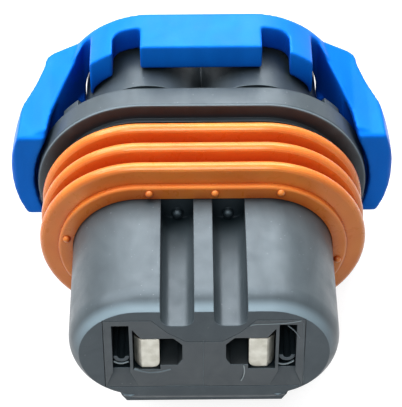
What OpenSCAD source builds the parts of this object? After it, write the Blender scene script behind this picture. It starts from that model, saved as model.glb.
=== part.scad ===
// Sealed two-way automotive connector, socket-contact half.
// Frame: origin at the centre of the mating face, +Y towards the wires, +Z up.

/* [Plug] */
// Width of the oval plug
plug_w = 22; // [20:0.5:26]
// Height of the oval plug
plug_h = 11.6; // [11:0.1:13]
// How far the middle of the oval lies below the wire axes
oval_drop = 0.3; // [0:0.05:0.4]
// Length of bare plug ahead of the seal
plug_len = 12; // [10:0.5:18]
// Radius of the rounded front edge
nose_r = 0.9; // [0.3:0.05:1]
// Width of each key groove in the top of the plug
groove_w = 2.7; // [2:0.05:3]
// Height of the key grooves' floor above the wire axes
groove_floor = 3; // [2.9:0.05:3.4]
// Radius in the floor corners of a key groove
groove_r = 0.9; // [0.3:0.1:0.95]
// Width of the rib left between the two grooves
groove_rib = 1.55; // [1:0.05:2.2]
// Width of the shallow pad under the plug
pad_w = 12.8; // [8:0.1:14]
// Height of the shallow pad under the plug
pad_h = 0.3; // [0.2:0.05:0.8]

/* [Contacts] */
// Distance between the two wire axes
pitch = 9.3; // [9.2:0.05:9.6]
// Width of the contact box
box_w = 3.6; // [3.3:0.05:3.65]
// Height of the contact box
box_h = 3.4; // [3:0.1:3.6]
// Length of the contact box
box_len = 8; // [6:0.5:9]
// Thickness of the contact sheet
sheet_t = 0.35; // [0.25:0.05:0.45]
// Width of the contact beam that shows in the mouth
beam_w = 2.1; // [1.6:0.05:2.2]
// Height of the beam's nose above the wire axis
beam_up = 1.3; // [1:0.05:1.45]
// Depth of the beam's nose below the wire axis
beam_dn = 2; // [1.6:0.05:2.1]
// How far the beam's nose lies behind the mating face
beam_set = 0.15; // [0.1:0.05:1]
// Outer diameter of the wire crimp
crimp_d = 3.3; // [2.8:0.1:3.6]
// Length of the wire crimp
crimp_len = 3.6; // [3:0.2:4.2]
// Gap all round the contact in its cavity
contact_gap = 0.1; // [0.05:0.01:0.15]

/* [Front retainer] */
// Width of the retainer in the mating face
insert_w = 16.1; // [15.9:0.1:16.6]
// Height of the retainer above the centre line
insert_up = 3.6; // [3.5:0.05:3.8]
// Height of the retainer below the centre line
insert_dn = 4.15; // [3.9:0.05:4.2]
// Thickness of the retainer's face plate
insert_t = 3; // [2:0.1:3.4]
// Height of the retainer's snap barbs
barb_h = 0.25; // [0.15:0.05:0.35]
// Gap all round the retainer
insert_gap = 0.05; // [0.03:0.01:0.15]
// Width of the lock finger slot beside each contact
slot_w = 1.4; // [1.2:0.05:1.5]
// Rib between a contact's window and its slot
slot_rib = 0.25; // [0.2:0.05:0.35]
// Wall of the retainer outside each slot
slot_wall = 0.65; // [0.55:0.05:0.8]
// Thickness of the contact lock fingers
finger_t = 0.35; // [0.25:0.05:0.45]
// Length of the contact lock fingers
finger_len = 7; // [5:0.5:8]

/* [Perimeter seal] */
// Number of sealing ribs
rib_n = 3; // [2:1:3]
// Distance from rib to rib
rib_pitch = 2.45; // [2.3:0.05:2.7]
// Height of the rib crests above the plug
rib_h = 2.9; // [2.4:0.05:3.1]
// Radius of the rib crests
rib_r = 0.55; // [0.4:0.05:0.65]
// Thickness of the seal between the ribs
seal_base = 1.45; // [1.2:0.05:1.7]
// Thickness of the seal at its front lip
seal_lip = 1.27; // [1:0.01:1.5]
// Length of the front lip ahead of the first rib
lip_len = 0.62; // [0.4:0.02:0.8]
// Length of seal behind the last rib
tail_len = 0.9; // [0.6:0.05:1.2]
// Gap between the seal and the housing
seal_gap = 0.05; // [0.02:0.01:0.1]
// Radius of the small moulding nubs on the seal's face
nub_r = 0.34; // [0.2:0.02:0.36]

/* [Flange] */
// Height of the flange above the plug
flange_h = 3.43; // [3.2:0.01:3.8]
// Thickness of the flange
flange_t = 2.4; // [2:0.1:3]
// Radius of the flange's edges
flange_e = 0.25; // [0.1:0.05:0.5]
// Height of the seal stop shoulder above the plug
stop_h = 1.95; // [1.6:0.05:2.3]
// Thickness of the seal stop shoulder
stop_t = 0.45; // [0.3:0.05:0.8]
// Length of the catch lugs behind the flange
lug_len = 0.9; // [0.5:0.05:1.2]

/* [Rear shroud] */
// Radius of the two lobes of the shroud
lobe_r = 5.6; // [5.5:0.05:5.7]
// Height of the upper lobe centres
lobe_up = 3.5; // [3.2:0.1:3.8]
// Depth of the lower lobe centres
lobe_dn = 3; // [2.6:0.1:3.3]
// Length of the shroud behind the flange
shroud_len = 8.6; // [8:0.1:11]
// Wall thickness of the shroud
shroud_wall = 1.5; // [1.2:0.05:1.8]
// Outer radius of the two seal towers
tower_r = 4.4; // [4.2:0.05:4.6]
// Bore radius of the two seal towers
tower_bore = 3.4; // [3.2:0.05:3.6]
// How far the towers stop short of the shroud's edge
tower_short = 0.8; // [0.4:0.1:1.5]

/* [Cable seals] */
// Diameter of the wire hole in each cable seal
wire_d = 2.9; // [2.4:0.1:3.2]
// Length of the ribbed part of a cable seal
cseal_len = 6; // [5:0.2:6.4]
// Number of ribs on a cable seal
cseal_ribs = 3; // [2:1:4]
// Depth of the grooves between its ribs
cseal_groove = 0.5; // [0.3:0.05:0.7]
// Outer diameter of the neck that the contact clasps
cneck_d = 4; // [3.8:0.1:4.4]
// Gap between a cable seal and what holds it
cseal_gap = 0.05; // [0.03:0.01:0.1]

/* [Lock] */
// Gap between the lock's ring and the shroud
lock_gap = 0.25; // [0.2:0.01:0.3]
// Gap between the ring's guide pads and the shroud's sides
guide_gap = 0.08; // [0.06:0.01:0.12]
// Thickness of the ring over the top
lock_t = 2.35; // [2:0.05:2.8]
// Thickness of the ring along the bottom
lock_low = 1.3; // [1.1:0.05:1.8]
// Thickness of the ring plate along the mating axis
plate_t = 1.9; // [1.5:0.1:2.4]
// Length of the tab and legs ahead of the ring plate
prong_len = 2.8; // [2.2:0.1:3]
// Gap from the tab and legs to the flange at rest
lock_stand = 2; // [1.8:0.05:2.4]
// Width of the middle tab
tab_w = 10.5; // [9:0.1:11]
// Width of the two notches beside the tab
notch_w = 2.4; // [1.8:0.1:2.6]
// Radius in the outer rear corner of each notch
notch_r = 0.8; // [0.3:0.1:1]
// Width of the two legs
leg_w = 2; // [1.6:0.05:2.2]
// Gap between the side arms and the flange ends
arm_gap = 0.3; // [0.2:0.01:0.35]
// Thickness of the side arms at mid height
arm_t = 2; // [1.7:0.05:2.2]
// Height of the arm tips above the centre line
arm_up = 4.85; // [4.4:0.05:5.2]
// Depth of the arm tips below the centre line
arm_dn = 4.15; // [3.8:0.05:4.6]
// How far the arm tips lie behind the flange's front face
arm_back = 0.5; // [0:0.1:1]
// Radius of the side arms' bowed outer face
arm_bow = 11; // [9:0.5:16]
// Thickness of the thin web between a leg and its side arm
web_t = 0.75; // [0.6:0.05:1.2]
// Stroke of the lock towards the flange
lock_stroke = 1.5; // [1.2:0.1:1.6]

/* [Hidden] */
$fn = 72;
e = 0.01;
// Plug oval: end radius, and the distance from the middle to each end's centre
r0 = plug_h / 2;
c0 = plug_w / 2 - r0;
// Stations along the mating axis
seal_y = plug_len + seal_gap;
rib_y = seal_y + lip_len + rib_r;
seal_end = rib_y + (rib_n - 1) * rib_pitch + rib_r + tail_len;
stop_y = seal_end + seal_gap;
flange_y = stop_y + stop_t;
flange_end = flange_y + flange_t;
shroud_end = flange_end + shroud_len;
prong_y = flange_end + lock_stand;
plate_y = prong_y + prong_len;
plate_end = plate_y + plate_t;
tip_y = flange_y + arm_back;
flange_r = r0 + flange_h;
// Grooves
groove_x = groove_rib / 2 + groove_w / 2;
groove_end = plug_len + 0.5;
end_nub_r = groove_w / 5;
// One contact cavity, as distances from the middle plane
u_mid = pitch / 2;
u_slot = insert_w / 2 - slot_wall - slot_w;
u_out = u_slot - slot_rib;
u_box = u_out - contact_gap - box_w;
u_in = u_box - contact_gap;
u_beam = u_box + box_w - beam_w;
slot_low = -2.4;
cav_h = box_h / 2 + contact_gap;
box_y = insert_t + insert_gap + 0.15;
box_end = box_y + box_len;
crimp_y = box_end + 1.6;
clasp_y = flange_end - 2.2;
cseal_y = flange_end + 0.3;
// Shroud and lock outlines
ring_in = lobe_r + lock_gap;
arm_in = flange_r + arm_gap;
arm_x = c0 + arm_in + arm_t;
leg_x = tab_w / 2 + notch_w + leg_w;
ear_z = lobe_up + 3.5;
ear_low = -(lobe_dn + 3.85);
arm_rise = (ear_z - arm_up) / (plate_end - tip_y);

// Points on an arc, for section outlines
function arc(x, y, r, a0, a1, n) =
    [for (i = [0 : n]) let (a = a0 + (a1 - a0) * i / n) [x + r * cos(a), y + r * sin(a)]];

// Extrudes a front-view outline (x, z) from y0 to y1
module slab(y0, y1) translate([0, y1, 0]) rotate([90, 0, 0]) linear_extrude(y1 - y0) children();

// Extrudes a side-view outline (y, z) from x0 to x1
module side(x0, x1) translate([x0, 0, 0]) rotate([90, 0, 90]) linear_extrude(x1 - x0) children();

// Sweeps a section of (radius, y) points round the oval
module sweep(pts) translate([0, 0, -oval_drop]) {
    for (s = [-1, 1]) translate([s * c0, 0, 0]) rotate([-90, 0, 0])
        rotate([0, 0, s > 0 ? -90 : 90]) rotate_extrude(angle = 180) polygon(pts);
    for (s = [0, 1]) mirror([0, 0, s]) side(-c0, c0) polygon([for (p = pts) [p[1], p[0]]]);
}

// Copies a piece to both sides of the middle plane
module both() for (s = [0, 1]) mirror([s, 0, 0]) children();

// Box from corner to corner
module block(a, b) translate(a) cube(b - a);

// Two pairs of lobes, as seen from the front; flat bridges the valley between them
module lobes(ru, rd, flat = false, x = u_mid) {
    if (flat) translate([-x, -lobe_dn - rd]) square([2 * x, lobe_up + ru + lobe_dn + rd]);
    both() {
        translate([x, lobe_up]) circle(ru);
        translate([x, -lobe_dn]) circle(rd);
        translate([x - min(ru, rd), -lobe_dn]) square([2 * min(ru, rd), lobe_up + lobe_dn]);
    }
}

module groove_outline() {
    w = groove_w / 2;
    translate([-w, groove_floor + groove_r]) square([groove_w, r0]);
    translate([-w + groove_r, groove_floor]) square([groove_w - 2 * groove_r, r0]);
    for (s = [-1, 1]) translate([s * (w - groove_r), groove_floor + groove_r]) circle(groove_r);
}

// Outline of the front retainer, which dips under the two key grooves
module insert_outline(g) {
    w = insert_w / 2 + g;
    t = insert_up + g;
    b = -insert_dn - g;
    d = groove_floor - 0.75 - insert_gap + g;
    x1 = groove_x + groove_w / 2;
    polygon([[-w, b], [w, b], [w, t], [x1 + 0.7, t], [x1 - 0.55, d], [x1 - 2, d - 1.05],
             [-x1 + 2, d - 1.05], [-x1 + 0.55, d], [-x1 - 0.7, t], [-w, t]]);
}

// Window of the contact in the mating face
module window_outline() {
    polygon([[u_in - 0.2, -0.9], [u_in + 0.2, -1.6], [u_beam, -1.6], [u_beam, -beam_dn - 0.1],
             [u_out, -beam_dn - 0.1], [u_out, 2.6], [u_out - 0.7, beam_up + 0.25],
             [u_in + 0.5, beam_up + 0.25], [u_in - 0.2, 0.8]]);
}

// Lock finger slot in the mating face
module slot_outline() translate([u_slot, slot_low]) square([slot_w, 3.05 - slot_low]);

module housing() {
    p = concat([[0, 0]], arc(r0 - nose_r, nose_r, nose_r, -90, 0, 8),
               [[r0, stop_y], [r0 + stop_h, stop_y], [r0 + stop_h, flange_y]],
               arc(flange_r - flange_e, flange_y + flange_e, flange_e, -90, 0, 4),
               arc(flange_r - flange_e, flange_end - flange_e, flange_e, 0, 90, 4),
               [[0, flange_end]]);
    color("#4a4f55") both() lock_finger();
    color("#4a4f55") difference() {
        union() {
            sweep(p);
            // Shallow pad under the plug
            slab(nose_r / 2, plug_len - 0.3) translate([0, -oval_drop - r0 - pad_h])
                polygon([[-pad_w / 2, 0], [pad_w / 2, 0],
                         [pad_w / 2 + 1, pad_h + 0.7], [-pad_w / 2 - 1, pad_h + 0.7]]);
            // Shroud round the seal towers
            slab(flange_end - e, shroud_end) lobes(lobe_r, lobe_r);
            // Catch lugs behind the flange ends
            both() for (s = [0, 1]) mirror([0, 0, s]) intersection() {
                slab(flange_end - e, flange_end + lug_len) translate([c0, 0]) circle(flange_r - 0.5);
                translate([c0, 0, 0]) rotate([0, -45, 0])
                    translate([0, flange_end - 1, -0.9]) cube([20, lug_len + 1.5, 1.8]);
            }
        }
        // Key grooves, which end under the seal with a small nub on the end wall
        for (s = [-1, 1]) translate([s * groove_x, 0, 0]) difference() {
            slab(-1, groove_end) groove_outline();
            translate([0, groove_end, groove_floor + end_nub_r]) sphere(end_nub_r);
        }
        // Seat of the front retainer
        slab(-1, insert_t + insert_gap) insert_outline(insert_gap);
        both() {
            barb(insert_gap);
            // Contact cavity with the room that its lock finger needs
            block([u_in, 1, -cav_h], [u_slot + 0.1, crimp_y + crimp_len + 0.6, cav_h]);
            block([u_slot - 0.3, 1, -1.7], [u_slot + slot_w, box_y + finger_len, 3.15]);
            // Room for the beam under the contact box
            block([u_beam - 0.1, 1, -beam_dn - 0.15], [u_out, box_y + 0.1, 0]);
            // Crimp cavity and seal tower bore
            block([u_mid - crimp_d / 2 - 0.5, box_end - 0.6, -crimp_d / 2 - 0.5],
                  [u_mid + crimp_d / 2 + 0.5, clasp_y, crimp_d / 2 + 0.5]);
            translate([u_mid, clasp_y - 0.3, 0]) rotate([-90, 0, 0])
                cylinder(r = tower_bore, h = shroud_end - clasp_y + 1);
        }
        // Core-outs between the shroud and the towers
        difference() {
            slab(flange_end + 1.2, shroud_end + 1) lobes(lobe_r - shroud_wall, lobe_r - shroud_wall);
            slab(flange_end, shroud_end + 2) {
                both() translate([u_mid, 0]) circle(tower_r);
                for (x = [-u_mid, 0, u_mid]) translate([x - 0.5, -20]) square([1, 40]);
                translate([-u_mid, -tower_r]) square([2 * u_mid, 2 * tower_r]);
            }
        }
        // Towers stop short of the shroud's edge
        slab(shroud_end - tower_short, shroud_end + 1)
            lobes(lobe_r - shroud_wall, lobe_r - shroud_wall);
    }
}

// Half-round finger that locks a contact in its cavity
module lock_finger() {
    r = slot_w / 2 - 0.03;
    slab(insert_t * 0.1, box_y + finger_len + 1) translate([u_slot + slot_w / 2, -0.8]) intersection() {
        difference() {
            circle(r);
            circle(r - finger_t);
        }
        translate([-2, -2]) square([4, 2]);
    }
}

// Snap barb on the retainer's side; g opens it up for its recess in the housing
module barb(g) translate([insert_w / 2 - 0.2, 0, -1.2 - g]) linear_extrude(2.4 + 2 * g)
    polygon([[0, insert_t * 0.35], [0.2, insert_t * 0.35], [0.2 + barb_h + g, insert_t * 0.8 - g],
             [0.2 + barb_h + g, insert_t * 0.9 + g], [0, insert_t * 0.9 + g]]);

module front_retainer() color("#43484e") difference() {
    union() {
        slab(0, insert_t) insert_outline(0);
        both() barb(0);
    }
    both() {
        slab(-1, insert_t + e) window_outline();
        slab(-1, insert_t + e) slot_outline();
        // Ramp that leads a service tool to the lock finger
        intersection() {
            side(u_slot - 1, u_slot + slot_w + 1)
                polygon([[-e, e - insert_dn], [0.5, slot_low], [0.5, slot_low + e], [-e, slot_low + e]]);
            slab(-1, 2) translate([u_slot + slot_w / 2, 0]) polygon([[-slot_w / 2 - 0.65, -insert_dn],
                [slot_w / 2 + 0.6, -insert_dn], [slot_w / 2, slot_low + e], [-slot_w / 2, slot_low + e]]);
        }
    }
}

module perimeter_seal() {
    rc = r0 + rib_h - rib_r;
    p = concat([[r0 + seal_gap, seal_end], [r0 + seal_gap, seal_y]],
               arc(r0 + seal_lip - 0.25, seal_y + 0.25, 0.25, -90, 0, 4),
               [for (i = [0 : rib_n - 1]) let (y = rib_y + i * rib_pitch, b = i == 0 ? seal_lip : seal_base)
                   each concat([[r0 + b, y - rib_r - 0.1]], arc(rc, y, rib_r, -90, 90, 10),
                               [[r0 + seal_base, y + rib_r + 0.1]])],
               [[r0 + seal_base, seal_end]]);
    color("#f0701f") {
        sweep(p);
        // Moulding nubs on the front face
        for (s = [-1, 1]) translate([0, seal_y, -oval_drop]) {
            for (x = [-0.85, 0.2, 1.25]) translate([x * c0, 0, s * (r0 + seal_lip / 2)]) sphere(nub_r);
            translate([s * (c0 + (r0 + seal_lip / 2) * cos(12)), 0, -s * (r0 + seal_lip / 2) * sin(12)])
                sphere(nub_r);
        }
    }
}

// Front-view outline of the ring, with ears low at its sides; its lobes stand a little closer
// together than those of the shroud
module ring_solid() {
    lobes(ring_in + lock_t, ring_in + lock_low, true, u_mid - 0.3);
    x = arm_x - 3.5;
    both() polygon([[u_mid + 4, ear_low + 1], [u_mid + 4, lobe_up], [x, lobe_up], [x, ear_low + 0.6],
                    [x - 0.5, ear_low]]);
}

// Plan-view outline (x, y) of one side arm with its ear; t runs from the tip to the ring's rear
module arm_plan() {
    xo = arm_x;
    xi = c0 + arm_in - 1.15;
    function at(x, t) = [x, tip_y + t * (plate_end - tip_y)];
    polygon(concat([[xi, tip_y + 0.2], [xi + 0.2, tip_y]],
        arc(xo - 0.5, tip_y + 0.5, 0.5, -90, 0, 4),
        [at(xo - 0.05, 0.105), at(xo - 0.25, 0.213), at(xo - 0.65, 0.317), at(xo - 1.15, 0.422),
         at(xo - 1.6, 0.527), at(xo - 2.05, 0.631), at(xo - 2.5, 0.748), at(xo - 2.9, 0.864)],
        arc(xo - 3.75, plate_end - 0.8, 0.8, 10, 90, 5),
        [[leg_x, plate_end], [leg_x, plate_end - web_t], [xi - 3.28, plate_end - web_t], at(xi - 2.43, 0.748),
         at(xi - 1.65, 0.573), at(xi - 0.96, 0.399), at(xi - 0.5, 0.283), at(xi - 0.3, 0.166),
         at(xi - 0.14, 0.073)]));
}

// Pocket in front of the thin web between a leg and its side arm, in plan view
module web_plan() {
    xi = c0 + arm_in - 1.15;
    polygon([[leg_x, plate_y - 1], [leg_x, plate_end - web_t], [xi - 3.28, plate_end - web_t],
             [xi - 2.43, tip_y + 0.748 * (plate_end - tip_y)], [xi - 1.8, plate_y - 1]]);
}

// Plan-view outline of the middle tab and the two legs, with round corners behind the notches
module prong_plan() {
    x = tab_w / 2 + notch_w;
    translate([-tab_w / 2, prong_y]) square([tab_w, prong_len + e]);
    both() {
        translate([x, prong_y]) square([leg_w, prong_len + e]);
        polygon(concat([[x + e, plate_y + e], [x + e, plate_y - notch_r]],
            arc(x - notch_r, plate_y - notch_r, notch_r, 0, 90, 6), [[x - notch_r, plate_y + e]]));
    }
}

module lock_ring() color("#1e9be8") {
    difference() {
        union() {
            // Ring plate, thinned between the legs and the arms
            difference() {
                slab(plate_y, plate_end) ring_solid();
                both() translate([0, 0, lobe_up]) linear_extrude(20) web_plan();
            }
            // Middle tab and two legs over the top
            intersection() {
                slab(prong_y, plate_y + e) lobes(ring_in + lock_t, ring_in + lock_low, true, u_mid - 0.3);
                translate([0, 0, lobe_up]) linear_extrude(20) prong_plan();
            }
            // Side arms with their ears, whose top turns inwards in three steps as it rises
            both() intersection() {
                translate([0, 0, -20]) linear_extrude(40) arm_plan();
                union() {
                    side(0, 30) polygon([[tip_y, 0.15 - arm_dn], [tip_y + 0.15, -arm_dn], [plate_end, ear_low],
                                         [plate_end, ear_z], [tip_y + 0.15, arm_up], [tip_y, arm_up - 0.15]]);
                    for (k = [0.25, 0.5]) intersection() {
                        block([0, tip_y + 0.5, 0], [30, plate_end, 20]);
                        translate([arm_x - 1.4 - 2.8 * k, plate_end, ear_z])
                            rotate([atan(arm_rise * cos(atan(k))), atan(k), 0])
                                block([-30, -30, -30], [30, 30, 0]);
                    }
                }
                // Bowed outer face
                slab(tip_y - 1, plate_end + 1) translate([arm_x - arm_bow, (arm_up - arm_dn) / 2 + 0.5]) {
                    circle(arm_bow);
                    translate([-30, -30]) square([30, 60]);
                }
            }
        }
        // Room for the shroud, closer at its sides where the ring's guide pads run
        slab(prong_y - 1, plate_end + 1) difference() {
            lobes(ring_in, ring_in, true);
            both() difference() {
                translate([leg_x - 0.3, -lobe_dn]) square([lobe_r, lobe_dn + lobe_up + lobe_r]);
                lobes(lobe_r + guide_gap, lobe_r + guide_gap);
            }
        }
        // Room for the flange over the whole stroke
        slab(tip_y - 1, flange_end + lock_stroke + arm_gap) translate([0, -oval_drop]) {
            for (s = [-1, 1]) translate([s * c0, 0]) circle(arm_in);
            square([2 * c0, 2 * arm_in], center = true);
        }
    }
}

// Socket contact with its wire crimp and the clasp round the cable seal
module terminal() color("#c9ccc8") {
    hb = box_h / 2;
    beam_r = beam_w * 0.3;
    difference() {
        union() {
            block([u_box, box_y, -hb], [u_box + box_w, box_end, hb]);
            // Beam whose rounded nose shows in the mouth
            slab(beam_set, box_y + e) {
                translate([u_beam + 0.05, beam_r - beam_dn])
                    square([beam_w - 0.05, beam_up + beam_dn - beam_r]);
                translate([u_beam + 0.05 + beam_r, -beam_dn]) square([beam_w - 0.05 - 2 * beam_r, 1]);
                for (x = [u_beam + 0.05 + beam_r, u_beam + beam_w - beam_r])
                    translate([x, beam_r - beam_dn]) circle(beam_r);
            }
        }
        block([u_box + sheet_t, box_y + sheet_t, -hb + sheet_t],
              [u_box + box_w - sheet_t, box_end + 1, hb - sheet_t]);
        // Blade mouth
        block([u_box + sheet_t, box_y - 1, -1.5], [u_beam, box_y + 1, 1.5]);
        // Sloped outer side of the beam's nose
        slope = beam_w * 0.3;
        translate([0, 0, -5]) linear_extrude(10)
            polygon([[u_beam + beam_w - slope, beam_set - e], [u_beam + beam_w + slope, beam_set - e],
                     [u_beam + beam_w + slope, beam_set + slope * 1.4]]);
    }
    // Floor strip from the box to the crimp
    block([u_mid - 0.9, box_end - 1, -hb], [u_mid + 0.9, crimp_y + 1, -hb + sheet_t]);
    // Wire crimp and seal clasp, rolled from the same strip
    translate([u_mid, 0, 0]) {
        tube(crimp_y, crimp_y + crimp_len, crimp_d / 2, crimp_d / 2 - sheet_t);
        block([-0.7, crimp_y + 0.5, -crimp_d / 2 - 0.04], [0.7, clasp_y + 0.5, -crimp_d / 2 + sheet_t]);
        tube(clasp_y, flange_end - 0.2, cneck_d / 2 + cseal_gap + sheet_t, cneck_d / 2 + cseal_gap);
        block([-0.7, clasp_y, -cneck_d / 2 - cseal_gap - sheet_t * 0.8],
              [0.7, clasp_y + 0.5, -crimp_d / 2 + 0.1]);
    }
}

// Open tube along the mating axis
module tube(y0, y1, ro, ri) translate([0, y0, 0]) rotate([-90, 0, 0]) difference() {
    cylinder(r = ro, h = y1 - y0);
    translate([0, 0, -1]) cylinder(r = ri, h = y1 - y0 + 2);
}

// Ribbed cable seal with its neck towards the contact
module cable_seal() color("#e8873a") {
    r = tower_bore - cseal_gap;
    w = cseal_len / cseal_ribs;
    translate([u_mid, 0, 0]) rotate([-90, 0, 0]) rotate_extrude()
        polygon(concat([[wire_d / 2, cseal_y + cseal_len], [wire_d / 2, clasp_y + 0.7],
                        [cneck_d / 2, clasp_y + 0.7], [cneck_d / 2, cseal_y]],
            [for (i = [0 : cseal_ribs - 1]) let (y = cseal_y + i * w)
                each [[r - cseal_groove, y], [r, y + w * 0.3], [r, y + w * 0.7], [r - cseal_groove, y + w]]]));
}

housing();
front_retainer();
perimeter_seal();
lock_ring();
mirror([1, 0, 0]) terminal();  // terminal_left
terminal();  // terminal_right
mirror([1, 0, 0]) cable_seal();  // cable_seal_left
cable_seal();  // cable_seal_right
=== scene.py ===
import math

import bpy
from mathutils import Matrix, Vector
from mathutils.kdtree import KDTree


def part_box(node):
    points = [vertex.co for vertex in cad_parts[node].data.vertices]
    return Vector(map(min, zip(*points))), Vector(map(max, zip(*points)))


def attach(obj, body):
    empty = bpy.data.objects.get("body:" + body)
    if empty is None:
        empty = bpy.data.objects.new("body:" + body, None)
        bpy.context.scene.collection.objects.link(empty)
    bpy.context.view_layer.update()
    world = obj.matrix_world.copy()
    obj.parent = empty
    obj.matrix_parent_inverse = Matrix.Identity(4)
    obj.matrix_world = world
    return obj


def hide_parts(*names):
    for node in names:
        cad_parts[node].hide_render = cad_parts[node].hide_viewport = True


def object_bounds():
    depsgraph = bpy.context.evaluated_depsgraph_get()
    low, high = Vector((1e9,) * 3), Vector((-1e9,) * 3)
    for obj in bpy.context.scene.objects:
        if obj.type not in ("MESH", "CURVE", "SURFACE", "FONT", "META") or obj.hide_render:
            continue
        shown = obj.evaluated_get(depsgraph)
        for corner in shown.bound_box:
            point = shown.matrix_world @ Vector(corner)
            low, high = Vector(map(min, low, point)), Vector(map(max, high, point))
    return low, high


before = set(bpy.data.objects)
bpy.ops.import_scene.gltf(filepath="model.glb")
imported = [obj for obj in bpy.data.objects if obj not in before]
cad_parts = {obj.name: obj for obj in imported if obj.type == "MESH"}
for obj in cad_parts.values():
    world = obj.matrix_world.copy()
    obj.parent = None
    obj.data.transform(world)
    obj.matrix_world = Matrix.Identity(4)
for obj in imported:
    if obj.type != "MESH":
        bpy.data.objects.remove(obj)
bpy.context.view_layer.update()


# Housing: one moulding in glass-filled polyester (PBT), coloured dark grey in the mass. The
# steel mould is spark-eroded to a fine even skin, so the part is satin: it looks light where it
# mirrors the sky and nearly black where nothing lights it.
mm = 0.001
same_place = 0.001 * mm      # points nearer to each other than this are one


def merged_copy(node, name):
    """A new object with a CAD node's mesh, its loose triangles joined and its normals its own."""
    bpy.ops.object.select_all(action="DESELECT")
    made = bpy.data.objects.new(name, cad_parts[node].data.copy())
    bpy.context.collection.objects.link(made)
    bpy.context.view_layer.objects.active = made
    made.select_set(True)
    bpy.ops.mesh.customdata_custom_splitnormals_clear()
    bpy.ops.object.mode_set(mode="EDIT")
    bpy.ops.mesh.select_all(action="SELECT")
    bpy.ops.mesh.remove_doubles(threshold=same_place)
    bpy.ops.object.mode_set(mode="OBJECT")
    return made


# The solid rounds the plug's nose with one quarter turn. The mould's form is a slower curve that
# meets the flat face at a crisp edge: as deep as the quarter turn, but longer along the plug.
quarter_radius = 0.9 * mm
edge_angle = math.radians(42)
nose_radius = quarter_radius / (1 - math.sin(edge_angle))
nose_length = nose_radius * math.cos(edge_angle)
body = merged_copy("housing", "housing_body")
nose = [v for v in body.data.vertices if v.co.y < quarter_radius + same_place]

# The quarter turn begins at a ring round the plug; close points along it tell how far inwards of
# it a vertex of the nose lies
ring_step = 0.02 * mm
ring_vertices = {v.index for v in nose if abs(v.co.y - quarter_radius) < same_place}
ring_points = []
for edge in body.data.edges:
    if ring_vertices.issuperset(edge.vertices):
        start, end = (body.data.vertices[i].co for i in edge.vertices)
        steps = math.ceil((end - start).length / ring_step)
        ring_points += [start.lerp(end, i / steps) for i in range(steps + 1)]
ring = KDTree(len(ring_points))
for i, point in enumerate(ring_points):
    ring.insert((point.x, 0, point.z), i)
ring.balance()

# Each vertex on the quarter turn moves to the slower curve; the retainer's pocket stays as it is
surface_tolerance = 0.02 * mm
pocket_margin = 0.1 * mm
pocket_low, pocket_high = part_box("front_retainer")
for v in nose:
    in_pocket = all(pocket_low[i] - pocket_margin < v.co[i] < pocket_high[i] + pocket_margin for i in (0, 2))
    foot, _, inward = ring.find((v.co.x, 0, v.co.z))
    from_centre = math.hypot(inward - quarter_radius, v.co.y - quarter_radius)
    if not in_pocket and abs(from_centre - quarter_radius) < surface_tolerance:
        turned = math.acos(min(1, max(-1, (quarter_radius - inward) / quarter_radius)))
        slope = math.pi / 2 - turned * (1 - edge_angle * 2 / math.pi)
        new_inward = nose_radius * (1 - math.sin(slope))
        if inward > same_place:
            v.co.x = foot.x + (v.co.x - foot.x) * new_inward / inward
            v.co.z = foot.z + (v.co.z - foot.z) * new_inward / inward
        v.co.y = nose_length - nose_radius * math.cos(slope)

# Faces that meet at less than 28 degrees are one round surface; the flat ones stay flat beside them
bpy.ops.object.shade_smooth_by_angle(angle=math.radians(28))
flats = body.modifiers.new("flats", "WEIGHTED_NORMAL")
flats.keep_sharp = True
bpy.ops.object.modifier_apply(modifier=flats.name)


def linear(code):
    """Linear RGBA of an sRGB hex value such as "#5c6268"."""
    parts = [int(code[i:i + 2], 16) / 255 for i in (1, 3, 5)]
    return [c / 12.92 if c <= 0.04045 else ((c + 0.055) / 1.055) ** 2.4 for c in parts] + [1]


def feed(tree, node, inputs):
    """Gives a node's inputs, by name or number, a value each or a link from another node's output."""
    for name, given in inputs.items():
        if isinstance(given, bpy.types.NodeSocket):
            tree.links.new(given, node.inputs[name])
        else:
            node.inputs[name].default_value = given


def add(tree, kind, inputs, output=0, **settings):
    """Adds a node with its settings and what feeds it, and returns one of its outputs."""
    node = tree.nodes.new("ShaderNode" + kind)
    for name, value in settings.items():
        setattr(node, name, value)
    feed(tree, node, inputs)
    return node.outputs[output]


def start_material(name):
    """A new material with its tree, its Principled shader and a socket with Object coordinates."""
    made = bpy.data.materials.new(name)
    made.use_nodes = True
    tree = made.node_tree
    return made, tree, tree.nodes["Principled BSDF"], add(tree, "TexCoord", {}, "Object")


def turning(tree, pattern, start, end, below, above, most=1):
    """A colour that turns from one to the other while the pattern goes from start to end."""
    share = add(tree, "MapRange", {"Value": pattern, "From Min": start, "From Max": end, "To Max": most})
    return add(tree, "Mix", {"Factor": share, "A": below, "B": above}, "Result", data_type="RGBA")


def painted_shade_in_recesses(tree, colour, shade_colour, reach):
    """The colour with painted shade: turned to the shade colour in corners and recesses that are narrower
    than the reach.
    """
    openness = add(tree, "AmbientOcclusion", {"Distance": reach}, "AO", samples=8)
    return turning(tree, openness, 0.35, 0.85, linear(shade_colour), colour)


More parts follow.
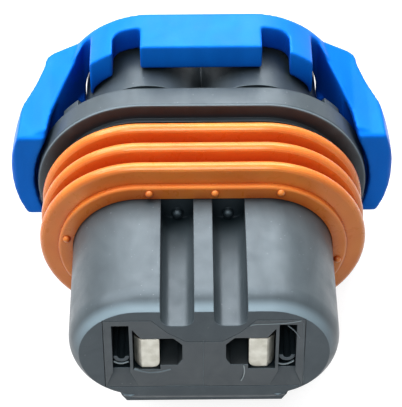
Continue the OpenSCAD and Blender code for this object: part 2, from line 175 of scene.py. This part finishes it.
def moulded_polyester(name, dark, light, rough):
    """PBT with 30% glass fibre: satin eroded skin 0.09 mm fine, faint swirls where the melt
    flowed, a few pale rubbed specks, and edges with a 0.11 mm round from the mould."""
    made, tree, shader, place = start_material(name)
    # Flow swirls 2.6 mm wide, drawn out about threefold along the mating axis
    along = add(tree, "Mapping", {"Vector": place, "Scale": (1, 0.35, 1)})
    swirl = add(tree, "TexNoise", {"Vector": along, "Scale": 1 / (2.6 * mm), "Detail": 3,
                                   "Roughness": 0.55, "Distortion": 0.8}, "Fac")
    colour = turning(tree, swirl, 0.32, 0.72, linear(dark), linear(light))
    # Rubbed specks about 0.1 mm across
    speck = add(tree, "TexNoise", {"Vector": place, "Scale": 1 / (0.22 * mm), "Detail": 1}, "Fac")
    colour = turning(tree, speck, 0.75, 0.79, colour, linear("#9aa2a8"), most=0.35)
    # Painted highlight: edges that face forwards and upwards are turned pale, but not a flat front face
    edge = add(tree, "Bevel", {"Radius": 0.11 * mm}, samples=6)
    forwards = add(tree, "SeparateXYZ", {"Vector": edge}, "Y")
    upwards = add(tree, "SeparateXYZ", {"Vector": edge}, "Z")
    painted_highlight = add(tree, "MapRange", {"Value": forwards, "From Min": -0.4, "From Max": -0.72, "To Max": 0.95},
               interpolation_type="SMOOTHSTEP")
    for facing, start, end in ((forwards, -0.92, -0.84), (upwards, -0.1, 0.5)):
        within = add(tree, "MapRange", {"Value": facing, "From Min": start, "From Max": end})
        painted_highlight = add(tree, "Math", {0: painted_highlight, 1: within}, operation="MULTIPLY")
    colour = turning(tree, painted_highlight, 0, 1, colour, linear("#899da8"))
    # Gloss in patches 1.4 mm wide, on a skin that sinks by up to 0.03 mm in waves 3.5 mm long
    patch = add(tree, "TexNoise", {"Vector": place, "Scale": 1 / (1.4 * mm), "Detail": 4}, "Fac")
    sunk = add(tree, "TexNoise", {"Vector": place, "Scale": 1 / (3.5 * mm), "Detail": 1}, "Fac")
    skin = add(tree, "TexNoise", {"Vector": place, "Scale": 1 / (0.09 * mm), "Detail": 2}, "Fac")
    waves = add(tree, "Bump", {"Height": sunk, "Normal": edge, "Strength": 1, "Distance": 0.03 * mm})
    feed(tree, shader, {
        # Painted shade: the colour turns nearly black in corners and recesses narrower than 2.6 mm
        "Base Color": painted_shade_in_recesses(tree, colour, "#151f24", 2.6 * mm),
        "Roughness": add(tree, "MapRange", {"Value": patch, "From Min": 0.3, "From Max": 0.7,
                                            "To Min": rough - 0.06, "To Max": rough + 0.08}),
        "Specular Tint": linear("#dcedfa"),
        "Normal": add(tree, "Bump", {"Height": skin, "Normal": waves, "Strength": 1,
                                     "Distance": 0.006 * mm}),
    })
    return made


def dress(piece, material):
    piece.data.materials.clear()
    piece.data.materials.append(material)


dress(body, moulded_polyester("moulded_grey_polyester", "#394146", "#485156", 0.38))
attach(body, "connector")
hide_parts("housing")


# Front retainer: a plate in the same resin, pressed into the mouth over the contacts after
# assembly. Its mould is polished less, so it is a shade paler and flatter than the housing.
retainer_plastic = moulded_polyester("moulded_retainer_polyester", "#4b5053", "#595e61", 0.46)
dress(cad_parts["front_retainer"], retainer_plastic)


# Flash and witness lines: where the inserts of the retainer's mould meet, the melt squeezes out
# in threads 0.06 to 0.13 mm thick. They are paler than the skin round them, because the melt is
# stretched thin there. Threads of the same kind, 0.2 and 0.3 mm thick, are painted highlights
# along the lance fingers' front rims and under the left contact, where those edges catch the light.
def flash_and_highlight_thread(name, thickness, material, points):
    """A thread along points (x, y, z). They and the thickness are in mm, and the face is at y = 0."""
    bpy.ops.object.select_all(action="DESELECT")
    bpy.ops.curve.primitive_nurbs_path_add(location=(0, 0, 0))
    made = bpy.context.object
    made.name = name
    made.data.splines.clear()
    line = made.data.splines.new("NURBS")
    line.points.add(len(points) - 1)
    for point, place in zip(line.points, points):
        point.co = (*(Vector(place) * mm), 1)
    line.order_u = 3
    line.use_endpoint_u = True
    made.data.bevel_depth = thickness / 2 * mm
    made.data.bevel_resolution = 1
    made.data.use_fill_caps = True
    bpy.ops.object.convert(target="MESH")
    dress(made, material)
    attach(made, "connector")


pale = moulded_polyester("flash_and_painted_highlight_polyester", "#8d9a9f", "#b9c4c6", 0.4)
dull = moulded_polyester("witness_line_and_painted_highlight_polyester", "#6b757a", "#7d888d", 0.4)
flash_and_highlight_thread("witness_line_middle", 0.06, dull, [(-0.07, 0, 1.3), (-0.05, 0, -1.3), (-0.09, 0, -4.1)])
flash_and_highlight_thread("witness_line_low", 0.06, dull, [(-3.2, 0, -4.1), (-1.6, 0, -4), (0.1, 0, -4.1)])
flash_and_highlight_thread("flash_upper", 0.1, pale,
             [(3.65, 0, 2.95), (3.85, 0, 3.15), (5.35, 0, 3.15), (6.7, 0, 3.25), (7.7, 0, 3.5)])
flash_and_highlight_thread("flash_corner", 0.1, dull, [(6.65, 0, 2.95), (7.25, 0, 2.45), (7.65, 0, 1.5)])
flash_and_highlight_thread("flash_side", 0.06, dull, [(7.9, 0, 3.3), (8.05, 0, -0.2), (8.1, 0, -3.9)])
flash_and_highlight_thread("flash_whisker", 0.13, pale, [(3.2, 0, -1.65), (3.4, -0.1, -2.6), (3, -0.05, -3.5)])
# Painted highlight: a pale band along the lower lip under the left contact, where its edge catches the light
flash_and_highlight_thread("lip_painted_highlight_left", 0.3, dull,
             [(-5.7, 0.1, -2.05), (-4.9, 0.1, -2.5), (-3.6, 0.1, -2.5), (-2.7, 0.1, -2.1)])
# Painted highlights: pale threads along the front rims of the lance fingers, where their rounded edges catch
# the light
flash_and_highlight_thread("finger_rim_painted_highlight_left", 0.2, pale,
             [(-7.35, 0.3, -1.35), (-7.05, 0.3, -1.6), (-6.55, 0.3, -1.65), (-6.1, 0.3, -1.4)])
flash_and_highlight_thread("finger_rim_painted_highlight_right", 0.2, pale,
             [(5.75, 0.3, -1.6), (6.15, 0.3, -1.9), (6.85, 0.3, -1.85), (7.3, 0.3, -1.45)])


# Perimeter seal: one ring of moulded liquid silicone, stretched over the plug. About 1.5% oil
# bleeds out of it, so its skin looks wet, and light goes a little way in, so thin lips glow.
def oiled_silicone(name, shade_colour, dark, light):
    made, tree, shader, place = start_material(name)
    # Clouds in the pigment, 4 mm wide
    cloud = add(tree, "TexNoise", {"Vector": place, "Scale": 1 / (4 * mm), "Detail": 2}, "Fac")
    colour = turning(tree, cloud, 0.35, 0.65, linear(dark), linear(light))
    # Oil film that gathers in smears about 1 mm wide, over a skin of soft dimples 0.3 mm wide
    smear = add(tree, "TexNoise", {"Vector": place, "Scale": 1 / (1.1 * mm), "Detail": 3,
                                   "Distortion": 1.2}, "Fac")
    dimple = add(tree, "TexNoise", {"Vector": place, "Scale": 1 / (0.3 * mm), "Detail": 2}, "Fac")
    feed(tree, shader, {
        # Painted shade: the colour turns deeper in the valleys between the ribs, where shade falls
        "Base Color": painted_shade_in_recesses(tree, colour, shade_colour, 1.6 * mm),
        "Roughness": add(tree, "MapRange", {"Value": smear, "From Min": 0.3, "From Max": 0.7,
                                            "To Min": 0.24, "To Max": 0.38}),
        "IOR": 1.43,
        "Specular Tint": linear("#ffdca8"),
        "Coat Weight": 0.35,
        "Coat Roughness": 0.2,
        "Subsurface Weight": 0.3,
        "Subsurface Radius": (1, 0.45, 0.15),
        "Subsurface Scale": 0.5 * mm,
        "Normal": add(tree, "Bump", {"Height": dimple, "Strength": 1, "Distance": 0.01 * mm}),
    })
    return made


seal_silicone = oiled_silicone("oiled_orange_silicone", "#b03e10", "#e07a30", "#ea8838")
dress(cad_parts["perimeter_seal"], seal_silicone)


# Cable seals: ribbed sleeves of the same silicone in a duller batch, one on each wire, pushed
# into the towers at the rear.
for side in ("left", "right"):
    sleeve_silicone = oiled_silicone("cable_seal_silicone_" + side, "#b4501c", "#d8702e", "#e0803a")
    dress(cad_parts["cable_seal_" + side], sleeve_silicone)


# Contacts: stamped from 0.35 mm bronze strip, folded into a box with a spring beam, and
# electro-tinned: bright but not a mirror, with fine lines along the strip from the rolls.
def tinned_bronze():
    made, tree, shader, place = start_material("tinned_bronze_strip")
    # Lines from the rolls 0.07 mm apart, and duller stains in the tin 0.8 mm wide
    drawn = add(tree, "Mapping", {"Vector": place, "Scale": (1, 1, 0.06)})
    lines = add(tree, "TexNoise", {"Vector": drawn, "Scale": 1 / (0.07 * mm), "Detail": 2}, "Fac")
    stain = add(tree, "TexNoise", {"Vector": place, "Scale": 1 / (0.8 * mm), "Detail": 3}, "Fac")
    edge = add(tree, "Bevel", {"Radius": 0.12 * mm}, samples=6)
    feed(tree, shader, {
        "Base Color": turning(tree, stain, 0.3, 0.7, linear("#a9a79c"), linear("#c6c5bc")),
        "Metallic": 1,
        "Roughness": add(tree, "MapRange", {"Value": lines, "To Min": 0.3, "To Max": 0.5}),
        "Normal": add(tree, "Bump", {"Height": lines, "Normal": edge, "Strength": 1,
                                     "Distance": 0.004 * mm}),
    })
    return made


tin = tinned_bronze()
for side in ("left", "right"):
    dress(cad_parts["terminal_" + side], tin)


# Lock: one moulding in blue unfilled PBT that slides on the shroud. The mould is polished along
# the outside, so it is semi-gloss, and every outer edge has a small round to hold in the hand.
def moulded_blue_polyester():
    made, tree, shader, place = start_material("moulded_blue_polyester")
    # Melt flow in long soft streaks about 2 mm wide, drawn out along the arms
    along = add(tree, "Mapping", {"Vector": place, "Scale": (1, 0.5, 0.4)})
    flow = add(tree, "TexNoise", {"Vector": along, "Scale": 1 / (2.2 * mm), "Detail": 3,
                                  "Distortion": 0.6}, "Fac")
    colour = turning(tree, flow, 0.3, 0.7, linear("#0870e6"), linear("#0c7af2"))
    # Gloss in patches 1.2 mm wide, and a skin of soft dimples 0.25 mm wide
    patch = add(tree, "TexNoise", {"Vector": place, "Scale": 1 / (1.2 * mm), "Detail": 4}, "Fac")
    dimple = add(tree, "TexNoise", {"Vector": place, "Scale": 1 / (0.25 * mm), "Detail": 2}, "Fac")
    edge = add(tree, "Bevel", {"Radius": 0.2 * mm}, samples=6)
    feed(tree, shader, {
        # Painted shade: the blue turns deeper in corners and recesses narrower than 3 mm
        "Base Color": painted_shade_in_recesses(tree, colour, "#0642aa", 3 * mm),
        "Roughness": add(tree, "MapRange", {"Value": patch, "From Min": 0.3, "From Max": 0.7,
                                            "To Min": 0.3, "To Max": 0.42}),
        "Specular IOR Level": 0.22,
        "Specular Tint": linear("#58b8ff"),
        "Normal": add(tree, "Bump", {"Height": dimple, "Normal": edge, "Strength": 1,
                                     "Distance": 0.008 * mm}),
    })
    return made


# The small round comes from laying the skin anew in 0.14 mm steps and smoothing it
lock = merged_copy("lock_ring", "lock_moulding")
skin = lock.modifiers.new("skin", "REMESH")
skin.mode = "VOXEL"
skin.voxel_size = 0.14 * mm
skin.use_smooth_shade = True
bpy.ops.object.modifier_apply(modifier=skin.name)
rounding = lock.modifiers.new("rounding", "SMOOTH")
rounding.factor = 0.5
rounding.iterations = 8
bpy.ops.object.modifier_apply(modifier=rounding.name)
dress(lock, moulded_blue_polyester())
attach(lock, "lock")
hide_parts("lock_ring")


# Card: the connector lies on a matt pale card. It shows nearly white to the eye and in gloss,
# and is a mid grey to all other light, so that it throws little of it back onto the connector.
def to_the_eye(tree):
    """1 for what the eye sees directly, mirrored or through something clear, and 0 for other light."""
    kinds = ("Is Camera Ray", "Is Glossy Ray", "Is Transmission Ray")
    direct, mirrored, through = (add(tree, "LightPath", {}, kind) for kind in kinds)
    indirect = add(tree, "Math", {0: mirrored, 1: through}, operation="MAXIMUM")
    return add(tree, "Math", {0: direct, 1: indirect}, operation="MAXIMUM")


card_size = 0.9
card_glow = 0.86             # how white the card shows, where 1 is pure white
bpy.ops.object.select_all(action="DESELECT")
bpy.ops.mesh.primitive_plane_add(size=card_size, location=(0, 0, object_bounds()[0].z))
floor = bpy.context.object
floor.name = "floor"
card, tree, shader, place = start_material("matt_white_card")
fibre = add(tree, "TexNoise", {"Vector": place, "Scale": 1 / (0.4 * mm), "Detail": 3}, "Fac")
feed(tree, shader, {
    "Base Color": linear("#909192"),
    "Roughness": 0.9,
    "Emission Color": (1, 1, 1, 1),
    "Emission Strength": add(tree, "Math", {0: to_the_eye(tree), 1: card_glow}, operation="MULTIPLY"),
    "Normal": add(tree, "Bump", {"Height": fibre, "Strength": 1, "Distance": 0.02 * mm}),
})
dress(floor, card)


# Light: a large softbox that hangs above and behind the connector, a weak lamp in front, and a
# room that looks white but lights the connector only faintly.
def lamp(name, place_at, width, depth, power):
    """A lamp with a flat face, in metres and watts, aimed 10 mm behind the middle of the mating face."""
    aim = Vector((0, 0.01, 0))
    bpy.ops.object.light_add(type="AREA", location=place_at)
    made = bpy.context.object
    made.name = name
    made.data.shape = "RECTANGLE"
    made.data.size = width
    made.data.size_y = depth
    made.data.energy = power
    made.rotation_euler = (aim - Vector(place_at)).to_track_quat("-Z", "Y").to_euler()


lamp("softbox", (-0.07, 0.15, 0.3), 0.55, 0.32, 3.8)
lamp("front_lamp", (-0.03, -0.27, 0.33), 0.16, 0.1, 0.6)
room_light = 0.08            # the share of the room's white that lights the connector
room = bpy.data.worlds.new("studio")
room.use_nodes = True
bpy.context.scene.world = room
tree = room.node_tree
feed(tree, tree.nodes["Background"], {
    "Color": (1, 1, 1, 1),
    "Strength": add(tree, "MapRange", {"Value": to_the_eye(tree), "To Min": room_light, "To Max": 1}),
})


# Camera: in front of the mating face and above it, looking down at the connector through a long
# lens, a little turned and rolled.
camera_at = Vector((-0.82, -104.4, 114.78)) * mm
down, heading, roll = (math.radians(angle) for angle in (43.313, -0.337, -0.25))
bpy.ops.object.camera_add(location=camera_at)
camera = bpy.context.object
camera.data.sensor_fit = "HORIZONTAL"
camera.data.sensor_width = 36
camera.data.lens = 172.31
camera.data.clip_start = 0.01
camera.data.clip_end = 2
aimed = Matrix.Rotation(heading, 3, "Z") @ Matrix.Rotation(math.pi / 2 - down, 3, "X")
camera.rotation_mode = "QUATERNION"
camera.rotation_quaternion = (aimed @ Matrix.Rotation(roll, 3, "Z")).to_quaternion()
bpy.context.scene.camera = camera
bpy.context.scene.view_settings.view_transform = "Standard"
